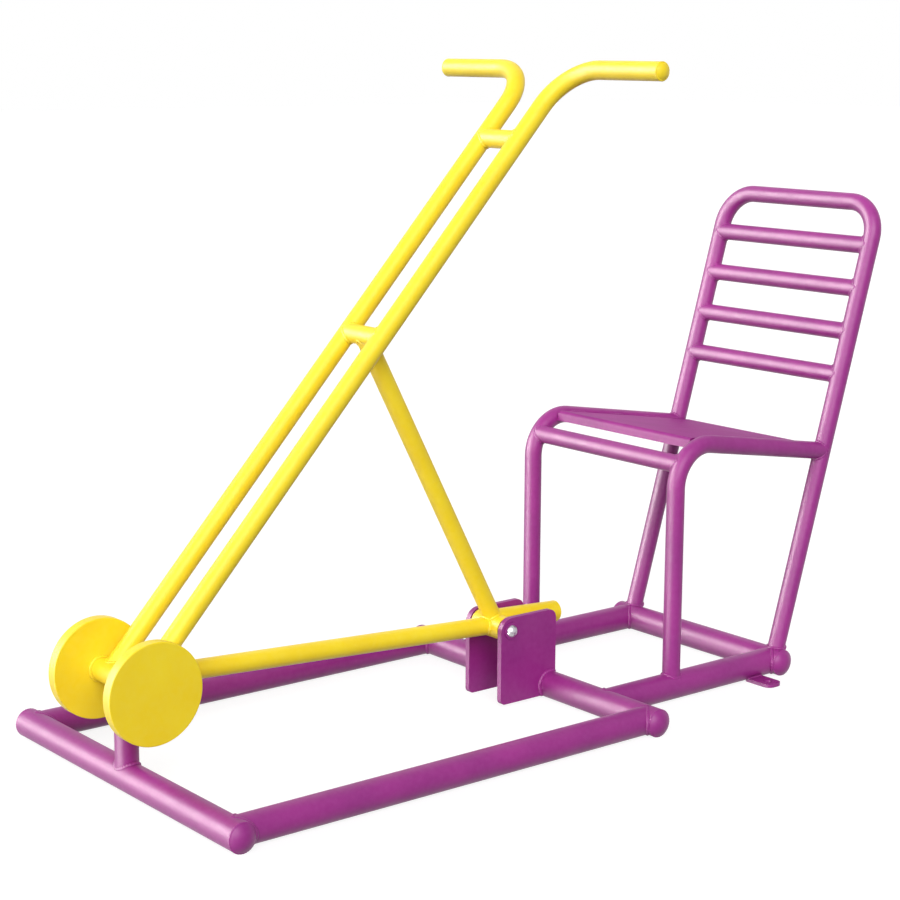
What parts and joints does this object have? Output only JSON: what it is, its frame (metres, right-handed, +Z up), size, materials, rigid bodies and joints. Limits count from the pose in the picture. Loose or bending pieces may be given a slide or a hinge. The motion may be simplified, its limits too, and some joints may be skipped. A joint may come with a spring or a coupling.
{
  "type": "outdoor seated pull station",
  "caption": "Outdoor exercise station: a fixed tube chair faces a pivoting lever with side handles and weight discs; pulling the handles towards the chair lifts the weights.",
  "frame": {"origin": "on the ground, midway between the two anchor-tab bolt holes", "axes": "+Z up, +X from the weight discs towards the chair's back, +Y to the sitter's right"},
  "size_m": [1.6058, 0.6762, 1.119],
  "materials": {
    "purple_paint": "glossy purple powder coat",
    "yellow_paint": "glossy yellow powder coat",
    "zinc": "bright zinc plate",
    "bearing_steel": "ground bearing steel",
    "black_rubber": "matt black rubber"
  },
  "bodies": {
    "frame": {"front_crossbar": "purple_paint", "front_crossbar_left_cap": "purple_paint", "front_crossbar_right_cap": "purple_paint", "middle_crossbar": "purple_paint", "middle_crossbar_left_cap": "purple_paint", "middle_crossbar_right_cap": "purple_paint", "rear_crossbar": "purple_paint", "rear_crossbar_left_cap": "purple_paint", "rear_crossbar_right_cap": "purple_paint", "left_side_rail": "purple_paint", "right_side_rail": "purple_paint", "left_seat_rail": "purple_paint", "right_seat_rail": "purple_paint", "left_anchor_tab": "purple_paint", "right_anchor_tab": "purple_paint", "stop_post": "purple_paint", "left_bracket_plate": "purple_paint", "right_bracket_plate": "purple_paint", "pivot_washers": "purple_paint", "left_seat_frame_tube": "purple_paint", "right_seat_frame_tube": "purple_paint", "seat_front_bar": "purple_paint", "seat_panel": "purple_paint", "backrest_frame": "purple_paint", "backrest_slat_1": "purple_paint", "backrest_slat_2": "purple_paint", "backrest_slat_3": "purple_paint", "backrest_slat_4": "purple_paint", "pivot_bolt": "zinc", "pivot_nut": "zinc", "left_pivot_spacer": "zinc", "right_pivot_spacer": "zinc", "left_bearing_inner_ring": "bearing_steel", "right_bearing_inner_ring": "bearing_steel", "bearing_distance_sleeve": "bearing_steel", "stop_buffer": "black_rubber"},
    "lever": {"left_lever_arm": "yellow_paint", "right_lever_arm": "yellow_paint", "left_handle_cap": "yellow_paint", "right_handle_cap": "yellow_paint", "lower_arm_tie": "yellow_paint", "upper_arm_tie": "yellow_paint", "lever_brace": "yellow_paint", "lower_bar": "yellow_paint", "lower_bar_tail": "yellow_paint", "lower_bar_tail_cap": "yellow_paint", "axle_tube": "yellow_paint", "left_weight_disc": "yellow_paint", "right_weight_disc": "yellow_paint", "pivot_hub": "yellow_paint", "left_bearing_outer_ring": "bearing_steel", "right_bearing_outer_ring": "bearing_steel", "left_bearing_balls": "bearing_steel", "right_bearing_balls": "bearing_steel", "left_bearing_seals": "black_rubber", "right_bearing_seals": "black_rubber"}
  },
  "joints": [
    {"name": "lever_pivot", "type": "hinge", "parent": "frame", "child": "lever", "pos_m": [-0.4554, 0, 0.1384], "axis": [0, 1, 0], "range_deg": [0, 34.4]}
  ]
}
